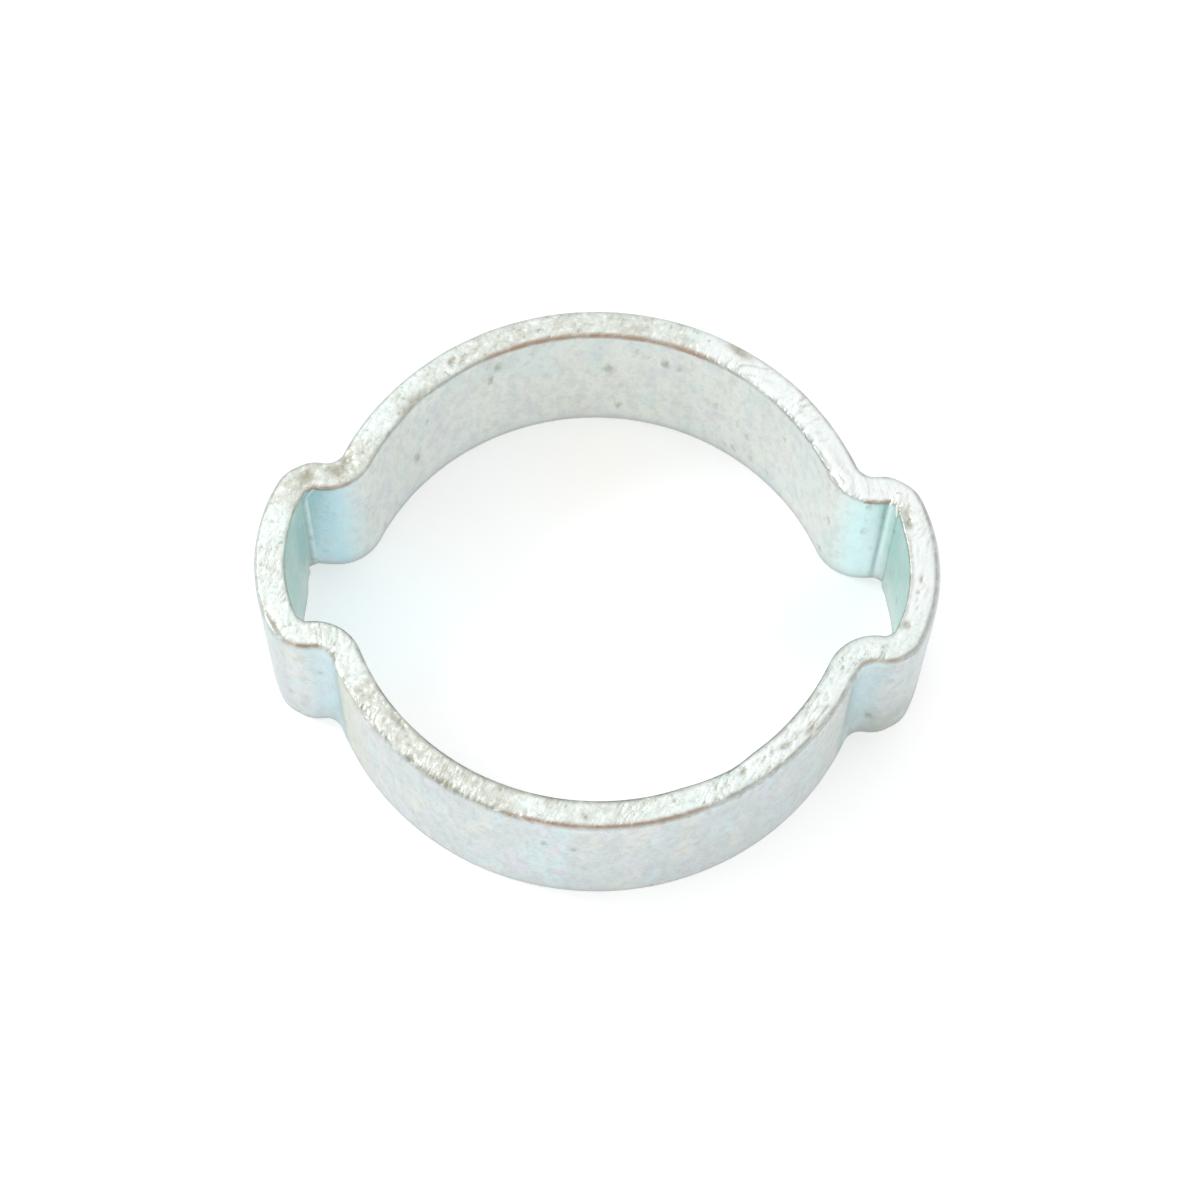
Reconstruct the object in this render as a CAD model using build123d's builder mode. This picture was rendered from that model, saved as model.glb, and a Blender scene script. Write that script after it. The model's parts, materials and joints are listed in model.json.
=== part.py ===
from build123d import *
import os
from math import cos, radians, sin, sqrt

# Two-ear hose clamp: one closed band of zinc-plated steel.
# Two arcs grip the hose, and between them the band steps out into two opposed ears.
# Pincers squeeze the mouth of each ear shut, and that draws the arcs in.
#
# Frame: the origin is at the middle of the bottom rim, +Z runs along the bore,
# and +X points through the crown of one ear.

# Driving dimensions, in millimetres and degrees

# the ring
bore_radius = 9.0  # inside of the two gripping arcs, as supplied
band_thickness = 1.15
band_width = 6.8  # along the bore, rim to rim

# the ears
mouth_gap = 4.85  # across an ear's mouth, where its shoulders leave the bore
shoulder_straight = 0.2  # straight part of a shoulder, between its two folds
shoulder_flare = 5.0  # each shoulder opens outwards from the mouth by this angle
crown_bow = 0.65  # how far a crown bulges beyond its corners

# the folds
root_bend_radius = 0.66  # outside of the bend between an arc and a shoulder
crease_flat = 0.2  # each leg of the narrow flat pressed into an ear's inside corner
crease_radius = 0.1  # both edges of that flat

# the edges: tumbled round outside, broken with a narrow bevel inside
outer_edge_radius = 0.25
inner_edge_bevel = 0.12

# Derived geometry of the ear on the +X side

half_gap = mouth_gap / 2
mouth_corner = Vector(sqrt(bore_radius**2 - half_gap**2), half_gap)
outward = Vector(cos(radians(shoulder_flare)), sin(radians(shoulder_flare)))
square_to_shoulder = Vector(-outward.Y, outward.X)
root_count = 4  # one above and one below each ear

# Inside the band a root bend touches both the bore and the shoulder, so its centre lies
# one bend radius away from each. bend_run is the length of shoulder that the bend uses.
root_inside_radius = root_bend_radius + band_thickness
beside_mouth = mouth_corner + square_to_shoulder * root_inside_radius
lead = beside_mouth.dot(outward)
centre_distance = bore_radius + root_inside_radius
bend_run = sqrt(lead**2 + centre_distance**2 - beside_mouth.dot(beside_mouth)) - lead

shoulder_start = mouth_corner - outward * root_bend_radius
shoulder_end = mouth_corner + outward * (bend_run + shoulder_straight + crease_flat)
crown_middle = Vector(shoulder_end.X + crown_bow, 0)

# Inside of one ear: two flared shoulders, closed by the crown.
# The shoulders start a little inside the bore, so that the pocket runs into it.
with BuildSketch() as ear_pocket:
    with BuildLine():
        upper = Line(shoulder_start, shoulder_end)
        lower = mirror(upper, about=Plane.XZ)
        ThreePointArc(upper @ 1, crown_middle, lower @ 1)
        Line(upper @ 0, lower @ 0)
    make_face()

# Inside of the whole band before its bends are rounded: the bore, with a pocket on
# either side whose inside corners are pressed flat.
# The corners nearest the axis are the roots of the ears.
with BuildSketch() as sharp_inside:
    Circle(bore_radius)
    add(ear_pocket.sketch)
    mirror(ear_pocket.sketch, about=Plane.YZ)
    chamfer(sharp_inside.vertices().sort_by_distance((0, 0))[root_count:], crease_flat)

# Outside of the band: one thickness of steel further out all the way round.
with BuildSketch() as band_outside:
    add(sharp_inside.sketch)
    offset(amount=band_thickness, kind=Kind.ARC)
    fillet(band_outside.vertices().sort_by_distance((0, 0))[:root_count], root_bend_radius)

# Inside of the band: each root bend shares its centre with the one outside.
with BuildSketch() as band_inside:
    add(sharp_inside.sketch)
    fillet(band_inside.vertices().sort_by_distance((0, 0))[root_count:], crease_radius)
    fillet(band_inside.vertices().sort_by_distance((0, 0))[:root_count], root_inside_radius)

# The band itself, with the edges of both rims dressed.
with BuildPart() as clamp_band:
    with BuildSketch():
        add(band_outside.sketch)
        add(band_inside.sketch, mode=Mode.SUBTRACT)
    extrude(amount=band_width)
    rims = clamp_band.faces().filter_by(Axis.Z)
    outer_edges = [rim.outer_wire().edges() for rim in rims]
    inner_edges = [rim.inner_wires().edges() for rim in rims]
    fillet(outer_edges, outer_edge_radius)
    chamfer(inner_edges, inner_edge_bevel)

clamp_band.part.label = "clamp_band"

os.makedirs("parts", exist_ok=True)
export_step(clamp_band.part, "parts/clamp_band.step")
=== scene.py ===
import json
from math import asin, atan2, cos, pi, radians, sin, sqrt, tan

import bpy
import numpy as np
from mathutils import Matrix, Vector, noise


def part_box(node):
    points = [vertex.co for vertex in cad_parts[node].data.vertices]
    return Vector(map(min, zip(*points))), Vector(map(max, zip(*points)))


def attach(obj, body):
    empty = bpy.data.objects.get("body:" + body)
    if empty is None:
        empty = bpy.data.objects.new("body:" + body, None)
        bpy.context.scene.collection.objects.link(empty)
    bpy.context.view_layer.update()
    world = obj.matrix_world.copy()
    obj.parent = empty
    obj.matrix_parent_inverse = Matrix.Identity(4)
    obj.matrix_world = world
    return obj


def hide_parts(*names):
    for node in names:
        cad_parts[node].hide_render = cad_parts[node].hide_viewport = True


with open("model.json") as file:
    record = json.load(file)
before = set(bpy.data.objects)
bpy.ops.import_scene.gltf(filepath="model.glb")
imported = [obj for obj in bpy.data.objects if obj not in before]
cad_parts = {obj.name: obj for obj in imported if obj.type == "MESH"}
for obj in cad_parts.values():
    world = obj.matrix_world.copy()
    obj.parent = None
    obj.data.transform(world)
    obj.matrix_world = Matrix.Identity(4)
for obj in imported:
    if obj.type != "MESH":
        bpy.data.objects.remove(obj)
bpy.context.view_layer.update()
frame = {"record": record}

MM = 0.001

# The band, in millimetres: the same driving dimensions as the solid it dresses.
hose_bore = next(m for m in frame["record"]["mounts"] if m["name"] == "hose_bore")
BORE_RADIUS = hose_bore["dims"]["r_mm"]
BAND_THICKNESS = 1.15
MOUTH_GAP = 4.85
SHOULDER_STRAIGHT = 0.2
SHOULDER_FLARE = 5.0
CROWN_BOW = 0.65
ROOT_BEND_RADIUS = 0.66
CREASE_FLAT = 0.2
CREASE_RADIUS = 0.1
OUTER_EDGE_RADIUS = 0.25
FOOT_EDGE_RADIUS = 0.14
INNER_EDGE_RADIUS = 0.12
BAND_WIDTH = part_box("clamp_band")[1].z / MM

# The skin's grid: stations along the band, and rows round its section.
STATIONS = 1280
WALL_MIDDLE_ROWS = 14  # besides the five by a wall's two edges
RIM_ROWS = 14
FOOT_ROWS = 6
OUTER_EDGE_ROWS = 6
INNER_EDGE_ROWS = 4
ROWS_BESIDE_EDGE = (0.07, 0.16, 0.3)  # distances of a wall's first rows from its edge
BOX_CLEARANCE = 0.001  # keeps the skin within the solid's top and bottom


def crown_to_arc():
    """A quarter of the inside line, from a crown's middle to an arc's: start and (length, curvature)s."""
    half_gap = MOUTH_GAP / 2
    mouth_corner = Vector((sqrt(BORE_RADIUS**2 - half_gap**2), half_gap))
    outward = Vector((cos(radians(SHOULDER_FLARE)), sin(radians(SHOULDER_FLARE))))
    square_to_shoulder = Vector((-outward.y, outward.x))
    root_radius = ROOT_BEND_RADIUS + BAND_THICKNESS
    beside_mouth = mouth_corner + square_to_shoulder * root_radius
    lead = beside_mouth.dot(outward)
    bend_run = sqrt(lead**2 + (BORE_RADIUS + root_radius) ** 2 - beside_mouth.length_squared) - lead
    root_centre = beside_mouth + outward * bend_run
    arc_start = atan2(root_centre.y, root_centre.x)

    corner = mouth_corner + outward * (bend_run + SHOULDER_STRAIGHT + CREASE_FLAT)
    crown_radius = (corner.y**2 + CROWN_BOW**2) / (2 * CROWN_BOW)
    crown_centre = Vector((corner.x + CROWN_BOW - crown_radius, 0))
    flat_angle = asin(corner.y / crown_radius) - CREASE_FLAT / crown_radius
    flat_start = crown_centre + crown_radius * Vector((cos(flat_angle), sin(flat_angle)))
    flat_end = corner - outward * CREASE_FLAT
    flat = (flat_end - flat_start).normalized()
    beside_flat = flat_start + CREASE_RADIUS * Vector((-flat.y, flat.x)) - crown_centre
    lag = beside_flat.dot(flat)
    first_trim = -lag - sqrt(lag**2 + (crown_radius - CREASE_RADIUS) ** 2 - beside_flat.length_squared)
    crease_centre = beside_flat + flat * first_trim
    crown_angle = atan2(crease_centre.y, crease_centre.x)
    flat_heading = atan2(flat.y, flat.x)
    first_turn = flat_heading - pi / 2 - crown_angle
    second_turn = pi + radians(SHOULDER_FLARE) - flat_heading
    second_trim = CREASE_RADIUS * tan(second_turn / 2)
    flat_length = (flat_end - flat_start).length - first_trim - second_trim
    root_turn = pi / 2 + radians(SHOULDER_FLARE) - arc_start
    start = Vector((corner.x + CROWN_BOW, 0))
    pieces = [
        (crown_radius * crown_angle, 1 / crown_radius),
        (CREASE_RADIUS * first_turn, 1 / CREASE_RADIUS),
        (flat_length, 0),
        (CREASE_RADIUS * second_turn, 1 / CREASE_RADIUS),
        (SHOULDER_STRAIGHT - second_trim, 0),
        (root_radius * root_turn, -1 / root_radius),
        (BORE_RADIUS * (pi / 2 - arc_start), 1 / BORE_RADIUS),
    ]
    return start, pieces


def band_line():
    """Stations evenly spaced along the band's middle: places on its inside line, and outward directions."""
    start, quarter = crown_to_arc()
    pieces = (quarter + quarter[::-1]) * 2
    middle = [length * (1 + curve * BAND_THICKNESS / 2) for length, curve in pieces]
    step = sum(middle) / STATIONS
    places, outwards = [], []
    at, heading, passed = start.copy(), pi / 2, 0.0
    for (length, curve), run in zip(pieces, middle):
        while len(places) < STATIONS and len(places) * step < passed + run:
            part = (len(places) * step - passed) / run * length
            turned = heading + curve * part
            if curve:
                move = Vector((sin(turned) - sin(heading), cos(heading) - cos(turned))) / curve
            else:
                move = Vector((cos(heading), sin(heading))) * part
            places.append(at + move)
            outwards.append((sin(turned), -cos(turned)))
        ended = heading + curve * length
        if curve:
            at = at + Vector((sin(ended) - sin(heading), cos(heading) - cos(ended))) / curve
        else:
            at = at + Vector((cos(heading), sin(heading))) * length
        heading = ended
        passed += run
    return np.array(places), np.array(outwards)


def wall_heights(low, high):
    """Rows up a wall, closer together beside its two edges."""
    first, second, third = ROWS_BESIDE_EDGE
    middle = np.linspace(low + third, high - third, WALL_MIDDLE_ROWS)
    return [low, low + first, low + second, *middle, high - second, high - first]


def section_loop():
    """Round the section, from the inside wall's foot: depth into the band, height and facing."""
    low, high = INNER_EDGE_RADIUS, BAND_WIDTH - INNER_EDGE_RADIUS
    loop = [(0, z, pi) for z in wall_heights(low, high)]
    loop += rounding(INNER_EDGE_RADIUS, high, INNER_EDGE_RADIUS, pi, INNER_EDGE_ROWS)
    left, right = INNER_EDGE_RADIUS, BAND_THICKNESS - OUTER_EDGE_RADIUS
    loop += [(left + (right - left) * i / RIM_ROWS, BAND_WIDTH, pi / 2) for i in range(RIM_ROWS)]
    low, high = FOOT_EDGE_RADIUS, BAND_WIDTH - OUTER_EDGE_RADIUS
    loop += rounding(right, high, OUTER_EDGE_RADIUS, pi / 2, OUTER_EDGE_ROWS)
    loop += [(BAND_THICKNESS, low + high - z, 0) for z in wall_heights(low, high)]
    right = BAND_THICKNESS - FOOT_EDGE_RADIUS
    loop += rounding(right, low, FOOT_EDGE_RADIUS, 0, OUTER_EDGE_ROWS)
    loop += [(right + (left - right) * i / FOOT_ROWS, 0, -pi / 2) for i in range(FOOT_ROWS)]
    loop += rounding(left, INNER_EDGE_RADIUS, INNER_EDGE_RADIUS, -pi / 2, INNER_EDGE_ROWS)
    return np.array(loop)


def rounding(depth, height, radius, first, rows):
    """A quarter turn round one edge of the section."""
    turns = [first - pi / 2 * i / rows for i in range(rows)]
    return [(depth + radius * cos(a), height + radius * sin(a), a) for a in turns]


def smooth(value, low, high):
    """0 below low, 1 above high, and eased between them."""
    t = np.clip((value - low) / (high - low), 0, 1)
    return t * t * (3 - 2 * t)


def sector(bearing, start, end, ease):
    """1 between two bearings in degrees round the clamp, easing off outside them."""
    middle, half = (start + end) / 2, (end - start) / 2
    off = np.abs((bearing - middle + 180) % 360 - 180)
    return 1 - smooth(off, half, half + ease)


def stretches(bearing, table):
    """Several sectors added up. Each is a share, two bearings and how far it eases off, in degrees."""
    return sum(share * sector(bearing, start, end, ease) for share, start, end, ease in table)


def grain(points, size, seed):
    """Smooth noise from -1 to 1 at each point, with features of about this size in millimetres."""
    shift = Vector((seed, 1.7 * seed, -seed))
    flat = points.reshape(-1, 3) / size
    return np.array([noise.noise(Vector(p) + shift) for p in flat]).reshape(points.shape[:-1])


def turned_points(points, angle, along, across):
    """Points squeezed so that noise on them runs in strokes at this angle from X."""
    c, s = np.cos(np.radians(angle)), np.sin(np.radians(angle))
    x, y, z = points[..., 0], points[..., 1], points[..., 2]
    return np.stack([(c * x + s * y) / along, (c * y - s * x) / across, z], axis=-1)


STROKE_ANGLE = 66.0  # the shear's strokes on the cut rim, from X
STROKE_WANDER = 14  # how far they turn from it, in degrees

# How far each kind of wear is pressed in, in millimetres.
SKIN_UNEVEN = 0.006
WALL_UNEVEN = 0.004
STROKE_DEPTH = 0.026
LUMP_DEPTH = 0.010
TEAR_DEPTH = 0.06
DIP_DEPTH = 0.10
ROLL_DEPTH = 0.025

# Where the shear's strokes are strong, over their plain strength, and where it tore the two edges.
SHEARED_PLAIN = 0.4
SHEARED = [(0.5, 222, 318, 14), (0.35, 22, 58, 10), (0.45, 172, 198, 8), (0.45, 326, 349, 5)]
TORN_OUTER = [(1.0, 217, 258, 5), (0.5, 302, 336, 6)]
TORN_INNER = [(1.0, 14, 66, 5)]

# Chips and stained hollows on the top rim: bearing, distance from the axis, length, width, slant from X
# and depth.
CHIPS = {
    "inner_back_left": (137.2, 9.10, 1.3, 0.56, 47, 0.06),
    "outer_back_left": (157.3, 9.85, 0.6, 0.34, 60, 0.08),
    "left_root_behind": (160.9, 10.00, 0.6, 0.50, 30, 0.04),
    "left_shoulder_behind": (164.0, 10.96, 0.8, 0.45, 50, 0.05),
    "left_crown_groove": (173.2, 11.00, 1.6, 0.12, 83, 0.03),
    "left_crown_corner": (193.0, 11.68, 1.2, 0.20, 126, 0.06),
    "left_root_front": (203.5, 10.15, 0.5, 0.30, 60, 0.05),
    "front_left_inner": (222.4, 9.22, 0.8, 0.26, 310, 0.06),
    "front_left_notch": (230.7, 9.98, 0.34, 0.26, 70, 0.10),
    "front_left_streak": (238.6, 9.96, 1.3, 0.30, 329, 0.05),
    "front_right_fleck": (304.3, 9.42, 0.36, 0.16, 50, 0.05),
    "front_right_chip": (314.5, 9.56, 0.45, 0.18, 30, 0.06),
    "front_right_edge": (321.0, 9.80, 0.55, 0.18, 50, 0.06),
    "right_crown_spot": (349.0, 11.19, 0.30, 0.24, 30, 0.06),
    "right_ear_fleck": (358.0, 11.54, 0.26, 0.10, 80, 0.04),
    "right_ear_dot": (355.6, 11.44, 0.14, 0.12, 60, 0.04),
    "right_corner": (11.9, 11.20, 0.8, 0.40, 108, 0.06),
    "right_crown_behind": (9.4, 11.26, 0.5, 0.30, 100, 0.05),
    "back_right_smudge": (59.7, 9.92, 1.0, 0.34, 325, 0.03),
    "back_left_fleck": (125.0, 9.6, 0.4, 0.22, 60, 0.04),
}
STAIN_SPREAD = 1.35  # how much fuller a chip's stain is than its dent

# Slivers curled over the right pocket's back corner, in millimetres: root, bend, tip and width at the root.
BURRS = [((10.78, 2.98, 6.73), (10.73, 2.56, 6.80), (10.70, 2.10, 6.45), 0.30),
         ((10.62, 2.78, 6.72), (10.52, 2.64, 6.80), (10.40, 2.46, 6.58), 0.22)]
BURR_SIDES = 8
BURR_RINGS = 10
BURR_FLATNESS = 0.4  # thickness over width
BURR_TAPER, BURR_TAPER_POWER = 0.9, 1.6  # how much narrower the tip is, and how late that sets in
BURR_ROOT = (14.9, 11.14, 0.8, 0.34, 95)  # the bright patch they spring from, as a chip without a depth

POCKET_LEAN = 0.16  # how much the left pocket's foot fills in at its middle, in millimetres
DEEPER_LEFT, DEEPER_RIGHT = 0.30, 0.20  # how much deeper the pockets' back corners are, in millimetres
DIP_BEARING = 302.2  # the deepest place of the dip in the front right inner edge
DIP_BEFORE, DIP_AFTER = 12, 6  # its reach to each side, in degrees


def on_rim(points, mark):
    """How strongly a long mark on the rim covers each point, from 0 to 1."""
    bearing, radius, length, width, slant = mark[:5]
    x = points[..., 0] - radius * cos(radians(bearing))
    y = points[..., 1] - radius * sin(radians(bearing))
    c, s = cos(radians(slant)), sin(radians(slant))
    along, across = (c * x + s * y) / (length / 2), (c * y - s * x) / (width / 2)
    return np.exp(-(along**2 + across**2))


def worn_surface(points, depth, height, facing, bearing):
    """How far each point is pressed in, in millimetres, and where the rim shows each kind of wear."""
    rim = smooth(np.sin(facing), 0.5, 0.95)
    top = smooth(height, BAND_WIDTH - 0.5, BAND_WIDTH - 0.2)
    wall = 1 - smooth(np.abs(np.sin(facing)), 0.2, 0.7)
    pressed = SKIN_UNEVEN * (1 + grain(points, 3.1, 3.0))
    pressed += wall * WALL_UNEVEN * (1 + grain(points, 0.9, 8.0))

    # Strokes of the shear, strong in some stretches and nearly gone in others.
    sheared = SHEARED_PLAIN + stretches(bearing, SHEARED)
    sheared = sheared * (0.35 + 0.65 * smooth(grain(points, 1.5, 41.0), -0.25, 0.35))
    bent = STROKE_ANGLE + STROKE_WANDER * grain(points, 2.6, 51.0)
    strokes = turned_points(points, bent, 0.4, 0.10)
    hollow = 0.5 + 0.55 * grain(strokes, 1.0, 5.0) + 0.3 * grain(strokes, 0.4, 15.0)
    pressed += rim * sheared * STROKE_DEPTH * np.clip(hollow, 0, 1)
    pressed += rim * LUMP_DEPTH * (1 + grain(points, 0.6, 11.0))
    pressed += rim * LUMP_DEPTH * (1 + grain(points, 0.24, 17.0))

    chipped = np.zeros_like(pressed)
    for mark in CHIPS.values():
        cover = top * on_rim(points, mark)
        pressed += mark[5] * cover * (1 + 0.5 * grain(points, 0.16, 61.0))
        chipped = np.maximum(chipped, np.minimum(STAIN_SPREAD * cover, 1))
    burr = top * on_rim(points, BURR_ROOT)

    # Torn outer edge at the front left and front right, torn inner edge at the back right.
    near_outer = smooth(depth, 0.62, 1.0) * top
    near_inner = (1 - smooth(depth, 0.05, 0.4)) * smooth(height, BAND_WIDTH - 0.35, BAND_WIDTH - 0.1)
    teeth = turned_points(points, bent, 0.7, 0.13)
    torn = smooth(grain(teeth, 1.0, 21.0), -0.15, 0.45)
    torn_edges = near_outer * stretches(bearing, TORN_OUTER) + near_inner * stretches(bearing, TORN_INNER)
    pressed += TEAR_DEPTH * torn * torn_edges

    # A shallow dip in the inner edge, which ends short at one side.
    past = (bearing - DIP_BEARING + 180) % 360 - 180
    reach = np.where(past < 0, DIP_BEFORE, DIP_AFTER)
    pressed += DIP_DEPTH * np.clip(1 - np.abs(past) / reach, 0, 1) * near_inner

    # Rolled-over edges, uneven along the band.
    lazy = 0.5 + 0.5 * grain(points * np.array([1, 1, 0]), 1.3, 31.0)
    pressed += ROLL_DEPTH * lazy * (near_outer + 0.6 * near_inner)
    shown = rim * np.clip(sheared, 0, 1)
    hollow = shown * smooth(hollow, 0.45, 0.9)
    return pressed, {"sheared": shown, "hollow": hollow, "chipped": chipped, "burr": burr}


def pocket_shift(points, depth, height):
    """How far each point moves along X, in millimetres: deeper back corners, and a fuller left foot."""
    # The back corners lie far out along X, and furthest back along Y.
    across, along = np.abs(points[..., 0]), points[..., 1]
    left = points[..., 0] < 0
    below_rim = np.where(left, smooth(BAND_WIDTH - height, 0.1, 0.8), 1.0)
    toward_corner = 0.33 * smooth(along, 1.3, 2.1) + 0.67 * smooth(along, 2.1, 2.52)
    corner = smooth(across, 9.75, 10.15) * toward_corner
    shift = np.where(left, DEEPER_LEFT, DEEPER_RIGHT) * corner * below_rim
    crown = left * smooth(across, 10.2, 10.5)
    fuller = 1 - 1.4 * smooth(np.abs(along) / (MOUTH_GAP / 2), 0.3, 0.95)
    shift = shift - POCKET_LEAN * crown * (1 - height / BAND_WIDTH) * fuller
    return shift * (1 - smooth(depth, 0.15, 0.95)) * np.sign(points[..., 0])


def linked(name, data):
    """Put a mesh, camera or lamp in the scene as an object."""
    made = bpy.data.objects.new(name, data)
    bpy.context.scene.collection.objects.link(made)
    return made


def smooth_piece(name, verts, faces, masks):
    """A smooth-shaded piece, with each mask kept as an attribute of its points."""
    mesh = bpy.data.meshes.new(name)
    mesh.from_pydata(verts, [], faces)
    mesh.polygons.foreach_set("use_smooth", np.ones(len(mesh.polygons), bool))
    for mask, values in masks.items():
        layer = mesh.attributes.new(mask, "FLOAT", "POINT")
        layer.data.foreach_set("value", np.ascontiguousarray(values, np.float32).ravel())
    mesh.update()
    return linked(name, mesh)


def burr_slivers():
    """The slivers of metal curled over the right pocket's corner, wide at the root and pointed at the tip."""
    verts, faces = [], []
    for root, bend, tip, width in BURRS:
        root, bend, tip = Vector(root), Vector(bend), Vector(tip)
        first = len(verts)
        for i in range(BURR_RINGS + 1):
            t = i / BURR_RINGS
            at = root * (1 - t) ** 2 + bend * 2 * t * (1 - t) + tip * t**2
            along = ((bend - root) * (1 - t) + (tip - bend) * t).normalized()
            side = along.cross(Vector((0, 0, 1))).normalized()
            up = side.cross(along)
            half = width / 2 * (1 - BURR_TAPER * t**BURR_TAPER_POWER)
            for k in range(BURR_SIDES):
                a = 2 * pi * k / BURR_SIDES
                verts.append((at + half * (side * cos(a) + up * BURR_FLATNESS * sin(a))) * MM)
        for i in range(BURR_RINGS):
            a, b = first + i * BURR_SIDES, first + (i + 1) * BURR_SIDES
            for k in range(BURR_SIDES):
                k2 = (k + 1) % BURR_SIDES
                faces.append((a + k2, a + k, b + k, b + k2))
        faces.append(tuple(range(first, first + BURR_SIDES)))
        faces.append(tuple(reversed(range(len(verts) - BURR_SIDES, len(verts)))))
    everywhere = np.ones(len(verts))
    return smooth_piece("corner_burr", verts, faces, {"rim": everywhere, "burr": everywhere})


def band_skin():
    """The whole clamp as one closed skin over the band's solid, with its strokes, tears and rolled edges."""
    places, outwards = band_line()
    loop = section_loop()
    depth = np.broadcast_to(loop[:, 0], (STATIONS, len(loop)))
    height = np.broadcast_to(loop[:, 1], depth.shape)
    facing = np.broadcast_to(loop[:, 2], depth.shape)
    flat = places[:, None, :] + outwards[:, None, :] * depth[..., None]
    points = np.concatenate([flat, height[..., None]], axis=-1)
    normals = np.concatenate(
        [outwards[:, None, :] * np.cos(facing)[..., None], np.sin(facing)[..., None]], axis=-1
    )
    bearing = np.degrees(np.arctan2(points[..., 1], points[..., 0])) % 360
    pressed, wear = worn_surface(points, depth, height, facing, bearing)
    masks = {**wear, **finish_masks(points, depth, height, facing, bearing)}
    shift = pocket_shift(points, depth, height)
    points = points - normals * pressed[..., None]
    points[..., 0] += shift
    points[..., 2] = np.clip(points[..., 2], BOX_CLEARANCE, BAND_WIDTH - BOX_CLEARANCE)

    rows = len(loop)
    i, j = np.meshgrid(np.arange(STATIONS), np.arange(rows), indexing="ij")
    i2, j2 = (i + 1) % STATIONS, (j + 1) % rows
    quads = np.stack([i * rows + j, i * rows + j2, i2 * rows + j2, i2 * rows + j], axis=-1)
    verts = (points.reshape(-1, 3) * MM).tolist()
    return smooth_piece("clamp_band_skin", verts, quads.reshape(-1, 4).tolist(), masks)


# Stretches of lines along the top rim's outer and inner edges: brown ones, partly stain and partly painted
# shade, and grey ones, painted shade on the rounded edges.
RUST_SHADE_OUTER = [(1.0, 257, 290, 8), (1.0, 197.6, 199.6, 1.0), (0.7, 339, 342, 1.5)]
RUST_SHADE_INNER = [(1.0, 68, 112, 12), (1.0, 14.4, 15.1, 0.4), (0.8, 163, 166, 1.2)]
SHADE_PLAIN_OUTER, SHADE_PLAIN_INNER = 0.5, 0.45
EDGE_SHADE_OUTER = [(0.4, 290, 400, 10), (0.35, 187, 255, 6)]
EDGE_SHADE_INNER = [(0.33, 205, 336, 10), (0.2, 30, 150, 10), (0.3, 350, 370, 4)]

# Stretches of the rim that are paler or, below 0, darker than the rest, and those with few flecks.
PALE_RIM = [(0.22, 300, 415, 20), (0.1, 128, 150, 8), (0.1, 175, 198, 6),
            (-0.14, 155, 167, 5), (-0.12, 80, 120, 15), (-0.16, 214, 250, 8)]
CLEAN_RIM = [(0.85, 353, 422, 8), (0.55, 306, 330, 8)]

# Thin shaded lines up the walls, in millimetres: distance from the YZ plane, and half width.
CREASE_RIGHT_LINE = (10.12, 0.07)
CREASE_LEFT_LINE = (10.42, 0.08)
ROOT_OUTSIDE_LINE = (9.08, 0.12)


def upright_line(across, line):
    """1 along an upright line on a wall, falling off to both sides."""
    centre, half_width = line
    return np.exp(-(((across - centre) / half_width) ** 2))


def finish_masks(points, depth, height, facing, bearing):
    """Where on the band each finish, and each painted light, shade or reflection, shows, from 0 to 1.
    pale_rim alone also goes below 0.
    """
    x = points[..., 0]
    across = np.abs(x)
    inside = smooth(-np.cos(facing), 0.3, 0.9)
    outside = smooth(np.cos(facing), 0.3, 0.9)
    rim = smooth(np.abs(np.sin(facing)), 0.55, 0.9)
    deep = 0.5 + 0.5 * smooth(height, 1.0, 3.6)
    pocket = inside * smooth(across, 10.25, 10.5) * deep
    shoulder = inside * smooth(across, 8.5, 9.6) * (1 - smooth(across, 10.15, 10.6))
    crease_line = inside * upright_line(across, CREASE_RIGHT_LINE) * (x > 0)
    crease_line += inside * upright_line(across, CREASE_LEFT_LINE) * (x < 0)
    root_outside = outside * smooth(across, 9.0, 9.25) * (1 - smooth(across, 9.7, 10.7))
    root_line = outside * upright_line(across, ROOT_OUTSIDE_LINE)
    beside_root = outside * smooth(across, 7.6, 8.9) * (1 - smooth(across, 9.0, 9.2))
    beside_root = beside_root * (0.3 + 0.7 * sector(bearing, 200, 220, 10))

    from_rim = BAND_WIDTH - height
    behind = sector(bearing, 20, 160, 20)
    over = depth - (BAND_THICKNESS - OUTER_EDGE_RADIUS)
    top = smooth(height, BAND_WIDTH - 0.3, BAND_WIDTH - 0.2)
    outer_edge = top * np.exp(-(((over - 0.08 - 0.11 * behind) / 0.085) ** 2))
    inner_edge = 1 - smooth(np.hypot(depth, from_rim), 0.07, 0.24)
    # Brown lines along the rim's edges, partly stain and partly painted shade.
    rust_and_shade = outer_edge * stretches(bearing, RUST_SHADE_OUTER) + inner_edge * stretches(bearing, RUST_SHADE_INNER)
    # Grey lines of painted shade on the rounded outer and inner edges of the top rim.
    edge_shade = outer_edge * (SHADE_PLAIN_OUTER + stretches(bearing, EDGE_SHADE_OUTER))
    edge_shade = edge_shade + inner_edge * (SHADE_PLAIN_INNER + stretches(bearing, EDGE_SHADE_INNER))
    return {
        "rim": rim,
        "inside": inside,
        "crease_line": crease_line,
        "calm": np.clip(pocket + shoulder + 0.6 * root_outside, 0, 1),
        "pocket_left": pocket * (x < 0),
        "pocket_right": pocket * (x > 0),
        "shoulder_left": shoulder * (x < 0),
        "shoulder_right": shoulder * (x > 0),
        "root_outside": root_outside,
        "root_line": root_line,
        "beside_root": beside_root,
        "pale_rim": stretches(bearing, PALE_RIM),
        "clean_rim": stretches(bearing, CLEAN_RIM),
        "ear_left": outside * smooth(-x, 10.7, 11.3),
        "edge_shade_line": np.clip(edge_shade, 0, 1),
        "rust_and_shade_line": np.clip(rust_and_shade, 0, 1),
        # Darker streaks low on the right ear's outside.
        "low_dark_streaks": outside * sector(bearing, 338, 352, 3) * (1 - smooth(height, 1.2, 3.2)),
    }


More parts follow.
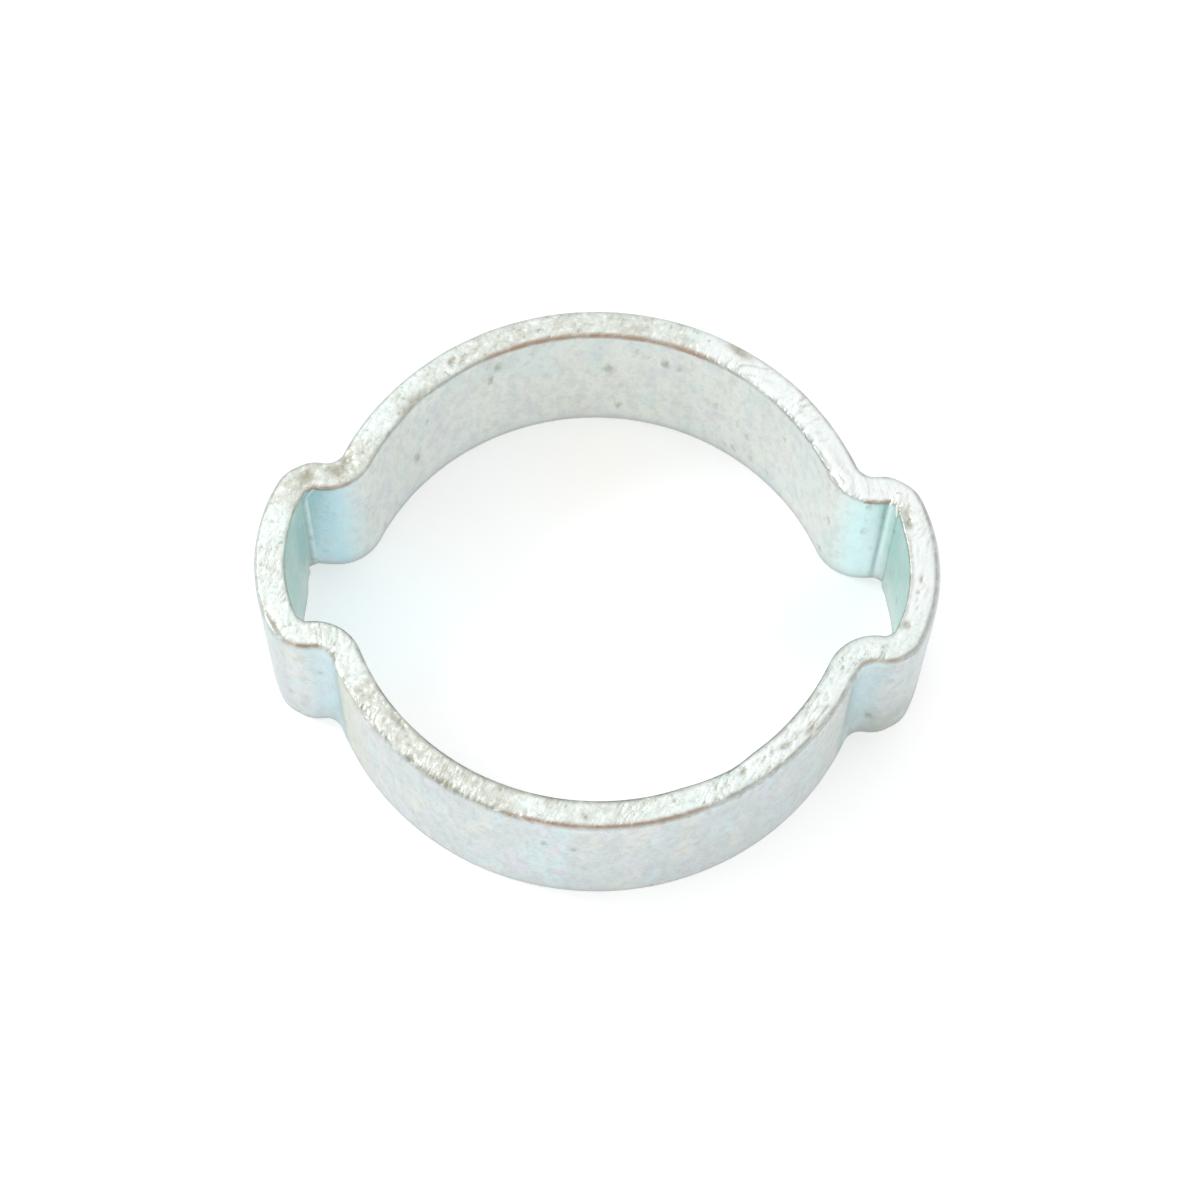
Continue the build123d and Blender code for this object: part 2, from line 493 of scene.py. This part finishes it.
class Nodes:
    """Short ways to add and join the nodes of one material or world."""

    def __init__(self, owner):
        owner.use_nodes = True
        self.tree = owner.node_tree
        self.tree.nodes.clear()

    def add(self, kind, inputs=None, **settings):
        made = self.tree.nodes.new(kind)
        for key, value in settings.items():
            setattr(made, key, value)
        for key, value in (inputs or {}).items():
            self.put(made.inputs[key], value)
        return made

    def put(self, socket, value):
        if isinstance(value, bpy.types.NodeSocket):
            self.tree.links.new(value, socket)
        elif socket.type == "RGBA" and len(value) == 3:
            socket.default_value = (*value, 1)
        else:
            socket.default_value = value

    def millimetres(self):
        """Places on the object, in millimetres."""
        coords = self.add("ShaderNodeTexCoord").outputs["Object"]
        return self.scaled(coords, 1 / MM)

    def scaled(self, value, scale):
        made = self.add("ShaderNodeVectorMath", {0: value, "Scale": scale}, operation="SCALE")
        return made.outputs[0]

    def math(self, operation, a, b):
        made = self.add("ShaderNodeMath", {0: a, 1: b}, operation=operation)
        return made.outputs[0]

    def blend(self, amount, a, b):
        """The second colour over the first, by an amount from 0 to 1."""
        made = self.add("ShaderNodeMix", data_type="RGBA")
        self.put(made.inputs["Factor"], amount)
        self.put(made.inputs[6], a)
        self.put(made.inputs[7], b)
        return made.outputs[2]

    def ramp(self, value, low, high, start=0.0, end=1.0, shape="LINEAR"):
        """Goes from start, where the value is low, to end, where it is high."""
        made = self.add("ShaderNodeMapRange", {0: value, 1: low, 2: high, 3: start, 4: end})
        made.interpolation_type = shape
        return made.outputs[0]

    def ease(self, value, low, high, start=0.0, end=1.0):
        return self.ramp(value, low, high, start, end, "SMOOTHSTEP")

    def toward(self, way, axis):
        """The dot product of two directions."""
        made = self.add("ShaderNodeVectorMath", {0: way, 1: axis}, operation="DOT_PRODUCT")
        return made.outputs["Value"]

    def between(self, amount, a, b):
        made = self.add("ShaderNodeMix", data_type="FLOAT")
        self.put(made.inputs["Factor"], amount)
        self.put(made.inputs[2], a)
        self.put(made.inputs[3], b)
        return made.outputs[0]

    def mask(self, name):
        return self.add("ShaderNodeAttribute", attribute_name=name).outputs["Fac"]

    def noise(self, place, scale, detail, roughness=0.5):
        settings = {"Vector": place, "Scale": scale, "Detail": detail, "Roughness": roughness}
        return self.add("ShaderNodeTexNoise", settings)

    def stretched(self, place, scale):
        return self.add("ShaderNodeMapping", {"Vector": place, "Scale": scale}).outputs[0]

    def spot(self, place, centre, size, soft):
        """1 at a place, in millimetres, and 0 outside a round mark of this radius."""
        off = self.add("ShaderNodeVectorMath", {0: place, 1: centre}, operation="DISTANCE")
        return self.ease(off.outputs["Value"], size * (1 - soft), size, 1.0, 0.0)


# Finishes, and painted light, shade and reflections, as linear colours.
# The walls' plating. The inside is painted lighter than the outside: painted light against the shade within
# the ring.
WALL_OUTSIDE_SHADED = (0.675, 0.74, 0.74)
WALL_INSIDE_LIT = (0.85, 0.885, 0.85)
# Painted shade at the walls' foot.
WALL_FOOT_SHADE = (0.66, 0.70, 0.72)
TINT_CYAN = (0.67, 0.82, 0.84)
TINT_LAVENDER = (0.77, 0.76, 0.83)
TINT_CREAM = (0.79, 0.81, 0.75)
WALL_MOTTLE = (0.56, 0.58, 0.60)
CREASE_SHADE = (0.42, 0.56, 0.56)
RIM_GREY = (0.72, 0.75, 0.685)
RIM_PALE = (0.89, 0.99, 0.965)
# Pale cream, also painted highlight on the rim's raised lumps and on the corner slivers.
RIM_CREAM_AND_HIGHLIGHT = (0.985, 1.0, 0.965)
RIM_CLEAN = (0.98, 1.0, 1.0)
# Olive of the rim's flecks, also painted shade in its hollows.
RIM_OLIVE_FLECKS_AND_SHADE = (0.48, 0.48, 0.39)
CHIP_OLIVE = (0.40, 0.38, 0.285)
# Teal in the ear pockets: painted shade and painted reflections of the pockets' own walls.
POCKET_LEFT_SHADE = (0.50, 0.71, 0.66)
POCKET_RIGHT_SHADE = (0.51, 0.72, 0.67)
# Blue of the shoulders inside the ears, painted darker on the left, which lies in shade, and lighter on the
# right, where the lamp reaches: painted light and shade.
SHOULDER_LEFT_SHADED = (0.70, 0.93, 1.0)
SHOULDER_RIGHT_LIT = (0.84, 0.99, 1.0)
# Painted reflections where an ear's outside meets the arc: blue on the ear's side, cream on the arc beside
# the root.
ROOT_BLUE_REFLECTION = (0.63, 0.79, 0.83)
ROOT_SHADE = (0.46, 0.58, 0.58)
# Painted reflection: cream on the arc beside the root.
ROOT_CREAM_REFLECTION = (0.74, 0.76, 0.66)
# Painted shade, for the rim's rounded edges and the walls' foot.
EDGE_SHADE_GREY = (0.42, 0.43, 0.38)
# Brown along the rim's edges: partly rust stain, partly painted shade.
RUST_AND_EDGE_SHADE = (0.50, 0.37, 0.29)
PIT_OLIVE = (0.42, 0.44, 0.36)

# Pits that stand alone on the walls: bearing in degrees, height and radius in millimetres. Those in and on
# the right ear have a place instead of a bearing and height.
INNER_PITS = [(88.7, 4.2, 0.30), (75.2, 5.3, 0.24), (115.4, 5.7, 0.26), (117.3, 5.0, 0.20),
              (139.4, 2.7, 0.28), (135.3, 4.8, 0.18), (86.1, 1.3, 0.22)]
OUTER_PITS = [(260.7, 5.0, 0.20), (266.9, 4.7, 0.18)]
EAR_PITS = [((10.05, -3.60, 1.80), 0.26), ((10.71, 2.20, 5.15), 0.16)]
HEIGHT_SQUEEZE = 0.5  # heights are scaled by this on the walls, which makes their tints and pits taller

# Tints of the walls: colour, noise scale and greatest share.
WALL_TINTS = [(TINT_CYAN, 0.85, 0.9), (TINT_LAVENDER, 1.1, 0.75), (TINT_CREAM, 0.75, 0.75)]
# Painted light, shade and reflections on the walls, each on its mask: reflected blue outside the roots, lit
# and shaded shoulders, shaded pockets, and shade in the root and crease lines.
WALL_LIGHT_AND_SHADE = {
    "root_outside": ROOT_BLUE_REFLECTION,
    "shoulder_left": SHOULDER_LEFT_SHADED,
    "shoulder_right": SHOULDER_RIGHT_LIT,
    "pocket_left": POCKET_LEFT_SHADE,
    "pocket_right": POCKET_RIGHT_SHADE,
    "root_line": ROOT_SHADE,
    "crease_line": CREASE_SHADE,
}
EAR_LEFT_GREY = 0.32  # how far the left ear's outside goes toward the mottle

# Scattered pits, in two sizes: density, depth, and where the noise that spreads them starts.
PIT_SCATTER = [(1.3, 0.5, 0.5), (2.6, 0.35, 0.52)]
PIT_WOBBLE = 0.35
PIT_SOFTNESS = 0.95
LONE_PIT_STRENGTH = 0.75
PIT_DARKNESS = 0.85


def on_wall(bearing, height, radius):
    """The place at this bearing and height on an upright wall round the axis."""
    return (radius * cos(radians(bearing)), radius * sin(radians(bearing)), height)


def wall_colour(n, place, fine):
    """Passivated zinc on the walls: pale, mottled cyan, lavender and cream, the inside painted lighter, bluer
    in the bends by painted reflection, with painted light and shade on the shoulders and pockets, painted
    shade at the foot, and darker streaks low on the right ear.
    """
    tall = n.stretched(place, (1, 1, HEIGHT_SQUEEZE))
    # The inside painted lighter than the outside: painted light.
    wall = n.blend(n.mask("inside"), WALL_OUTSIDE_SHADED, WALL_INSIDE_LIT)
    strength = n.between(n.mask("inside"), 1.0, 0.6)
    for tint, scale, share in WALL_TINTS:
        patch = n.noise(tall, scale, 4, 0.6).outputs["Fac"]
        wall = n.blend(n.math("MULTIPLY", n.ease(patch, 0.48, 0.68, 0.0, share), strength), wall, tint)
    # Painted reflection: cream on the arc beside the roots, strongest at the front left.
    wall = n.blend(n.mask("beside_root"), wall, ROOT_CREAM_REFLECTION)
    streaks = n.noise(tall, 1.7, 3).outputs["Fac"]
    # Painted light, shade and reflections in the bends, pockets and creases, streaked by noise.
    for mask, tint in WALL_LIGHT_AND_SHADE.items():
        share = n.math("MULTIPLY", n.mask(mask), n.ease(streaks, 0.3, 0.6, 0.7, 1.0))
        wall = n.blend(share, wall, tint)
    wall = n.blend(n.math("MULTIPLY", n.mask("ear_left"), EAR_LEFT_GREY), wall, WALL_MOTTLE)
    height = n.add("ShaderNodeSeparateXYZ", {0: place}).outputs["Z"]
    # Painted shade low on the walls, darkest at the foot where the clamp stands on the tabletop.
    wall = n.blend(n.ease(height, 0.0, 1.1, 0.5, 0.0), wall, WALL_FOOT_SHADE)
    wall = n.blend(n.ease(height, 0.1, 0.5, 0.4, 0.0), wall, EDGE_SHADE_GREY)
    # Darker streaks low on the right ear's outside.
    low_dark_streaks = n.math("MULTIPLY", n.mask("low_dark_streaks"), n.ease(streaks, 0.35, 0.6, 0.15, 0.6))
    wall = n.blend(low_dark_streaks, wall, PIT_OLIVE)
    mottle = n.noise(tall, 3.2, 4, 0.65).outputs["Fac"]
    speckled = n.math("MULTIPLY", n.ease(n.mask("calm"), 0.0, 1.0, 1.25, 0.4), strength)
    wall = n.blend(n.math("MULTIPLY", speckled, n.ease(mottle, 0.56, 0.36, 0.0, 0.36)), wall, WALL_MOTTLE)
    return n.blend(n.math("MULTIPLY", speckled, n.ease(fine, 0.50, 0.30, 0.0, 0.32)), wall, PIT_OLIVE)


def pits(n, place):
    """Small etched pits, taller than wide and uneven: a thin scatter, and the few that stand alone."""
    tall = n.stretched(place, (1, 1, HEIGHT_SQUEEZE))
    wobble = n.noise(tall, 5.0, 3).outputs["Color"]
    uneven = n.add("ShaderNodeVectorMath", {0: wobble, 1: (0.5, 0.5, 0.5)}, operation="SUBTRACT").outputs[0]
    uneven = n.scaled(uneven, PIT_WOBBLE)
    uneven = n.add("ShaderNodeVectorMath", {0: tall, 1: uneven}, operation="ADD").outputs[0]
    pit = 0.0
    for density, depth, start in PIT_SCATTER:
        pores = n.add("ShaderNodeTexVoronoi", {"Vector": uneven, "Scale": density})
        open_pores = n.ease(pores.outputs["Distance"], 0.03, 0.26, depth, 0.0)
        patch = n.noise(tall, 0.8 * density, 2).outputs["Fac"]
        pit = n.math("MAXIMUM", pit, n.math("MULTIPLY", open_pores, n.ease(patch, start, start + 0.1)))
    for found, radius in ((INNER_PITS, BORE_RADIUS), (OUTER_PITS, BORE_RADIUS + BAND_THICKNESS)):
        for bearing, height, size in found:
            spot = n.spot(uneven, on_wall(bearing, height * HEIGHT_SQUEEZE, radius), size, PIT_SOFTNESS)
            pit = n.math("MAXIMUM", pit, n.math("MULTIPLY", spot, LONE_PIT_STRENGTH))
    for (x, y, height), size in EAR_PITS:
        spot = n.spot(uneven, (x, y, height * HEIGHT_SQUEEZE), size, PIT_SOFTNESS)
        pit = n.math("MAXIMUM", pit, spot)
    return pit


def rim_colour(n, place, strokes, lumps, fine):
    """The strip's cut edge: lumps of zinc, in strokes where it was sheared, and olive flecks, with painted
    highlights on the lumps and painted shade, over an olive stain, in the hollows.
    """
    cloud = n.noise(place, 0.9, 4, 0.6).outputs["Fac"]
    blotch = n.noise(place, 1.6, 4, 0.65).outputs["Fac"]
    pale = n.ease(n.math("ADD", cloud, n.mask("pale_rim")), 0.32, 0.66)
    rim = n.blend(pale, RIM_GREY, RIM_PALE)
    texture = n.between(n.math("MULTIPLY", n.mask("sheared"), 0.85), lumps, strokes)
    # Painted highlight: the raised lumps and strokes lighter.
    rim = n.blend(n.ease(texture, 0.48, 0.64), rim, RIM_CREAM_AND_HIGHLIGHT)
    rim = n.blend(n.ease(blotch, 0.55, 0.7, 0.0, 0.5), rim, RIM_CREAM_AND_HIGHLIGHT)
    clouded = n.math("MULTIPLY", n.mask("clean_rim"), n.ease(cloud, 0.38, 0.56, 0.45, 0.95))
    rim = n.blend(clouded, rim, RIM_CLEAN)
    speckled = n.ease(n.mask("clean_rim"), 0.0, 1.0, 1.0, 0.0)
    # Painted shade in the relief's hollows, with the olive stain that lies there.
    relief_shade_and_stain = n.math("MULTIPLY", n.ease(texture, 0.48, 0.34), n.ease(blotch, 0.58, 0.42, 0.35, 1.0))
    relief_shade_and_stain = n.math("MULTIPLY", relief_shade_and_stain, speckled)
    relief_shade_and_stain = n.math("MAXIMUM", relief_shade_and_stain, n.math("MULTIPLY", n.mask("hollow"), 0.9))
    rim = n.blend(n.math("MULTIPLY", n.ease(fine, 0.50, 0.30, 0.0, 0.25), speckled), rim, RIM_OLIVE_FLECKS_AND_SHADE)
    rim = n.blend(relief_shade_and_stain, rim, RIM_OLIVE_FLECKS_AND_SHADE)
    chips = n.math("MULTIPLY", n.mask("chipped"), n.ease(fine, 0.3, 0.6, 0.95, 0.6))
    chips = n.math("MULTIPLY", chips, n.ease(blotch, 0.35, 0.52, 0.65, 1.0))
    return n.blend(chips, rim, CHIP_OLIVE), relief_shade_and_stain


STROKE_SQUEEZE = (2.4, 8.5, 1.0)  # along the strokes, across them and up
BUMP_STRENGTH = 0.9
BUMP_DEPTH = 0.00003


def zinc_plate():
    """Zinc plate with a thin blue passivation: mottled walls, sheared rims and small pits, with painted shade
    along the edges, brown lines there that are partly stain and partly painted shade, and painted light,
    shade and reflections on the walls and rims.
    """
    material = bpy.data.materials.new("zinc_plate")
    n = Nodes(material)
    place = n.millimetres()
    fine = n.noise(place, 6.0, 4, 0.7).outputs["Fac"]
    turned = n.add("ShaderNodeVectorRotate", {"Vector": place, "Angle": radians(-STROKE_ANGLE)},
                   rotation_type="Z_AXIS").outputs[0]
    strokes = n.noise(n.stretched(turned, STROKE_SQUEEZE), 1.0, 4, 0.6).outputs["Fac"]

    pit = pits(n, place)
    wall = n.blend(n.math("MULTIPLY", pit, PIT_DARKNESS), wall_colour(n, place, fine), PIT_OLIVE)
    lumps = n.noise(place, 3.4, 4, 0.65).outputs["Fac"]
    rim, relief_shade_and_stain = rim_colour(n, place, strokes, lumps, fine)
    colour = n.blend(n.mask("rim"), wall, rim)
    ragged = n.ease(n.noise(place, 2.2, 3, 0.6).outputs["Fac"], 0.35, 0.6, 0.55, 1.0)
    # Painted shade along the rim's rounded edges, broken up by noise.
    colour = n.blend(n.math("MULTIPLY", n.mask("edge_shade_line"), ragged), colour, EDGE_SHADE_GREY)
    # Brown lines along the rim's edges, partly stain and partly painted shade.
    colour = n.blend(n.math("MULTIPLY", n.mask("rust_and_shade_line"), ragged), colour, RUST_AND_EDGE_SHADE)
    # The slivers and the patch they spring from in pale cream, partly the bare metal's colour and partly
    # painted highlight.
    colour = n.blend(n.mask("burr"), colour, RIM_CREAM_AND_HIGHLIGHT)

    rough = n.math("ADD", n.ease(fine, 0.2, 0.8, 0.30, 0.46), n.math("MULTIPLY", pit, 0.2))
    rough = n.math("ADD", rough, n.math("MULTIPLY", relief_shade_and_stain, 0.12))
    height = n.math("SUBTRACT", n.math("ADD", n.math("MULTIPLY", fine, 0.5), lumps), pit)
    stroke_height = n.math("MULTIPLY", n.math("MULTIPLY", strokes, n.mask("sheared")), 2.0)
    height = n.math("ADD", height, stroke_height)
    bump = n.add("ShaderNodeBump", {"Strength": BUMP_STRENGTH, "Distance": BUMP_DEPTH, "Height": height})

    shader = n.add("ShaderNodeBsdfPrincipled", {"Base Color": colour, "Roughness": rough,
                                                "Normal": bump.outputs[0], "Metallic": 1.0})
    n.add("ShaderNodeOutputMaterial", {"Surface": shader.outputs[0]})
    return material


FLOOR_GLOW = 0.40  # lifts the tabletop to white for the camera
FLOOR_GLOW_IN_METAL = 0.3  # and in the clamp's reflections
FLOOR_WHITE = (0.86, 0.86, 0.86)
# Painted light reflected from the clamp onto the tabletop; the left one also lightens the shadow there.
FLOOR_REFLECTED_CYAN_LEFT = (0.88, 0.96, 0.98)
FLOOR_REFLECTED_CYAN_RIGHT = (0.70, 0.86, 0.88)
FLOOR_REFLECTED_WARM = (0.86, 0.845, 0.81)
# Soft round tints of the tabletop, painted light reflected onto it by the clamp, in millimetres: place,
# radius and colour.
FLOOR_REFLECTED_TINTS = [((-8.0, 0.6, 0), 5.5, FLOOR_REFLECTED_CYAN_LEFT),
               ((8.0, 0.3, 0), 4.5, FLOOR_REFLECTED_CYAN_RIGHT),
               ((0.0, 7.2, 0), 4.5, FLOOR_REFLECTED_WARM)]
FLOOR_HALF = 1.0
FLOOR_DROP = 0.01 * MM  # keeps it just clear of the clamp's foot


def floor():
    """A plain white tabletop that shows white to the camera and keeps the clamp's soft shadow, with soft
    tints of painted light reflected from the clamp.
    """
    mesh = bpy.data.meshes.new("floor")
    corners = [(x * FLOOR_HALF, y * FLOOR_HALF, -FLOOR_DROP) for x, y in ((-1, -1), (1, -1), (1, 1), (-1, 1))]
    mesh.from_pydata(corners, [], [(0, 1, 2, 3)])
    material = bpy.data.materials.new("white_floor")
    n = Nodes(material)
    rays = n.add("ShaderNodeLightPath")
    to_camera = n.math("MULTIPLY", rays.outputs["Is Camera Ray"], FLOOR_GLOW)
    to_metal = n.math("MULTIPLY", rays.outputs["Is Glossy Ray"], FLOOR_GLOW_IN_METAL)
    place = n.millimetres()
    colour = FLOOR_WHITE
    # Painted reflected light from the clamp, in soft round tints.
    for centre, radius, tint in FLOOR_REFLECTED_TINTS:
        colour = n.blend(n.spot(place, centre, radius, 1.0), colour, tint)
    diffuse = n.add("ShaderNodeBsdfDiffuse", {"Color": colour})
    glow = n.add("ShaderNodeEmission", {"Color": (1, 1, 1), "Strength": n.math("ADD", to_camera, to_metal)})
    both = n.add("ShaderNodeAddShader", {0: diffuse.outputs[0], 1: glow.outputs[0]})
    n.add("ShaderNodeOutputMaterial", {"Surface": both.outputs[0]})
    mesh.materials.append(material)
    linked("floor", mesh)


# The camera: where it stands, in millimetres, the way it looks and its upward direction.
CAMERA_AT = (0.238, -46.547, 111.940)
CAMERA_FORWARD = (-0.00098, 0.39374, -0.91922)
CAMERA_UP = (-0.02560, 0.91891, 0.39363)
LENS = 96.97
SENSOR = 36
CLIP_NEAR, CLIP_FAR = 0.005, 10


def camera():
    """The camera that took the photo, as fitted to the clamp's outlines."""
    data = bpy.data.cameras.new("camera")
    data.sensor_width = SENSOR
    data.lens = LENS
    data.clip_start = CLIP_NEAR
    data.clip_end = CLIP_FAR
    placed = linked("camera", data)
    back = -Vector(CAMERA_FORWARD).normalized()
    right = Vector(CAMERA_UP).cross(back).normalized()
    up = back.cross(right)
    turn = Matrix((right, up, back)).transposed().to_4x4()
    placed.matrix_world = Matrix.Translation(Vector(CAMERA_AT) * MM) @ turn
    bpy.context.scene.camera = placed


# The tent's walls near the horizon: bright panels along one direction, darker ones square to it.
PANEL_AXIS = (0.45, 0.89, 0.0)
HORIZON_LIGHT = (0.92, 0.95, 0.95)
HORIZON_DARK = (0.48, 0.52, 0.52)
TENT_WHITE = (1.0, 1.0, 1.0)
WHITE_FROM_RISE = 0.75  # how high a direction points where the tent is all white
LEFT_LIGHT, RIGHT_LIGHT = 1.12, 0.86  # strength of the tent to the two sides
SIDE_REACH = 0.8
LENS_DARK = (0.22, 0.18, 0.14)
LENS_DARK_ANGLE, LENS_EDGE_ANGLE = 10, 20  # degrees from the lens where its dark disc is full, and ends
LAMP_AT = (-0.20, 0.07, 0.21)
LAMP_SIZE = 0.08
LAMP_POWER = 0.15


def light_tent():
    """A white tent, darker low down, to the right and round the lens. The camera itself sees white."""
    world = bpy.data.worlds.new("tent")
    bpy.context.scene.world = world
    n = Nodes(world)
    way = n.add("ShaderNodeTexCoord").outputs["Generated"]
    split = n.add("ShaderNodeSeparateXYZ", {0: way})
    panels = n.math("POWER", n.toward(way, PANEL_AXIS), 2)
    tent = n.blend(panels, HORIZON_DARK, HORIZON_LIGHT)
    tent = n.blend(n.ramp(split.outputs["Z"], 0, WHITE_FROM_RISE), tent, TENT_WHITE)
    side = n.ramp(split.outputs["X"], -SIDE_REACH, SIDE_REACH, LEFT_LIGHT, RIGHT_LIGHT)
    tent = n.scaled(tent, side)
    to_lens = n.toward(way, -Vector(CAMERA_FORWARD).normalized())
    near_lens = n.ease(to_lens, cos(radians(LENS_EDGE_ANGLE)), cos(radians(LENS_DARK_ANGLE)))
    tent = n.blend(near_lens, tent, LENS_DARK)
    rays = n.add("ShaderNodeLightPath")
    tent = n.blend(rays.outputs["Is Camera Ray"], tent, TENT_WHITE)
    background = n.add("ShaderNodeBackground", {"Color": tent})
    n.add("ShaderNodeOutputWorld", {"Surface": background.outputs[0]})


def soft_lamp():
    """One soft lamp, up at the left and aimed at the clamp."""
    lamp = bpy.data.lights.new("soft_lamp", "AREA")
    lamp.shape = "DISK"
    lamp.size = LAMP_SIZE
    lamp.energy = LAMP_POWER
    at = Vector(LAMP_AT)
    placed = linked("soft_lamp", lamp)
    placed.matrix_world = Matrix.Translation(at) @ at.to_track_quat("Z", "Y").to_matrix().to_4x4()


band = band_skin()
band.data.materials.append(zinc_plate())
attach(band, "root")
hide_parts("clamp_band")
burr = burr_slivers()
burr.data.materials.append(band.data.materials[0])
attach(burr, "root")
floor()
light_tent()
soft_lamp()
camera()
bpy.context.scene.view_settings.view_transform = "Standard"
